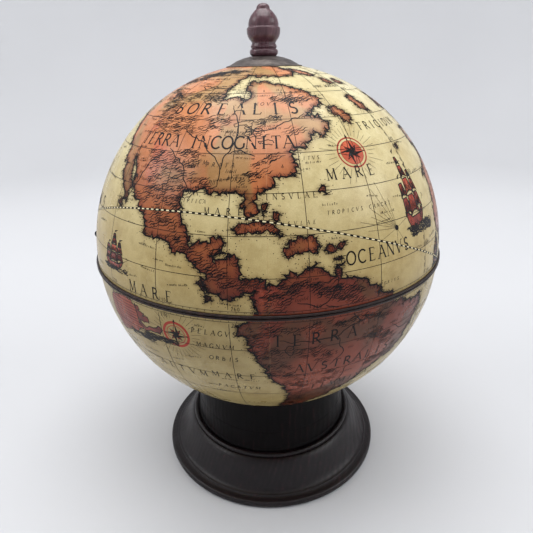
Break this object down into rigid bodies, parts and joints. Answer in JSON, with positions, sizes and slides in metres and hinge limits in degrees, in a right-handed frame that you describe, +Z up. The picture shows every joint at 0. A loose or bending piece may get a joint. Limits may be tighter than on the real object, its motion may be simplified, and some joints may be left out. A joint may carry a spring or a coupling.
{
  "type": "lift-top tabletop globe on stand",
  "caption": "Old-map globe in two hinged halves, the upper a lid with a turned finial, over a lined bucket, on a round turned wooden stand.",
  "frame": {"origin": "on the table under the middle of the stand, on the foot's felt", "axes": "+Z up along the ball's axis; the hinge is at -X, the lid lifts at +X; the front seen first is -Y"},
  "size_m": [0.229, 0.2224, 0.3028],
  "materials": {
    "stand_wood": "dark stained turned wood, satin",
    "rim_wood": "dark stained beads, satin",
    "finial_wood": "burgundy stained turned wood, satin",
    "map_paper": "printed paper under gloss varnish",
    "pressed_board": "raw pressed board",
    "ivory_plastic": "moulded, glossy",
    "bronze_metal": "spun, dark bronze finish",
    "blued_steel": "blued, satin",
    "zinc_steel": "zinc plated",
    "nylon": "natural nylon",
    "felt": "dark green felt"
  },
  "bodies": {
    "stand": {"base_felt": "felt", "base_foot": "stand_wood", "base_neck": "stand_wood", "neck_screws": "zinc_steel", "seat_felt": "felt", "pivot_bolt": "zinc_steel", "pivot_washer": "zinc_steel", "pivot_nut": "zinc_steel"},
    "bowl": {"lower_shell": "pressed_board", "lower_map": "map_paper", "lower_rim": "rim_wood", "bucket_liner": "ivory_plastic", "pivot_block": "pressed_board", "pivot_bush": "nylon", "hinge_lower_leaf": "blued_steel", "hinge_lower_screws": "blued_steel", "hinge_pin": "blued_steel"},
    "lid": {"upper_shell": "pressed_board", "upper_map": "map_paper", "upper_rim": "rim_wood", "lid_liner": "ivory_plastic", "polar_cap": "bronze_metal", "finial": "finial_wood", "finial_stud": "zinc_steel", "finial_washer": "zinc_steel", "finial_nut": "zinc_steel", "hinge_upper_leaf": "blued_steel", "hinge_upper_screws": "blued_steel"}
  },
  "joints": [
    {"name": "globe_spin", "type": "hinge", "parent": "stand", "child": "bowl", "pos_m": [0, 0, 0.162], "axis": [0, 0, 1], "continuous": true},
    {"name": "lid_hinge", "type": "hinge", "parent": "bowl", "child": "lid", "pos_m": [-0.1152, 0, 0.167], "axis": [0, -1, 0], "range_deg": [0, 95]}
  ]
}
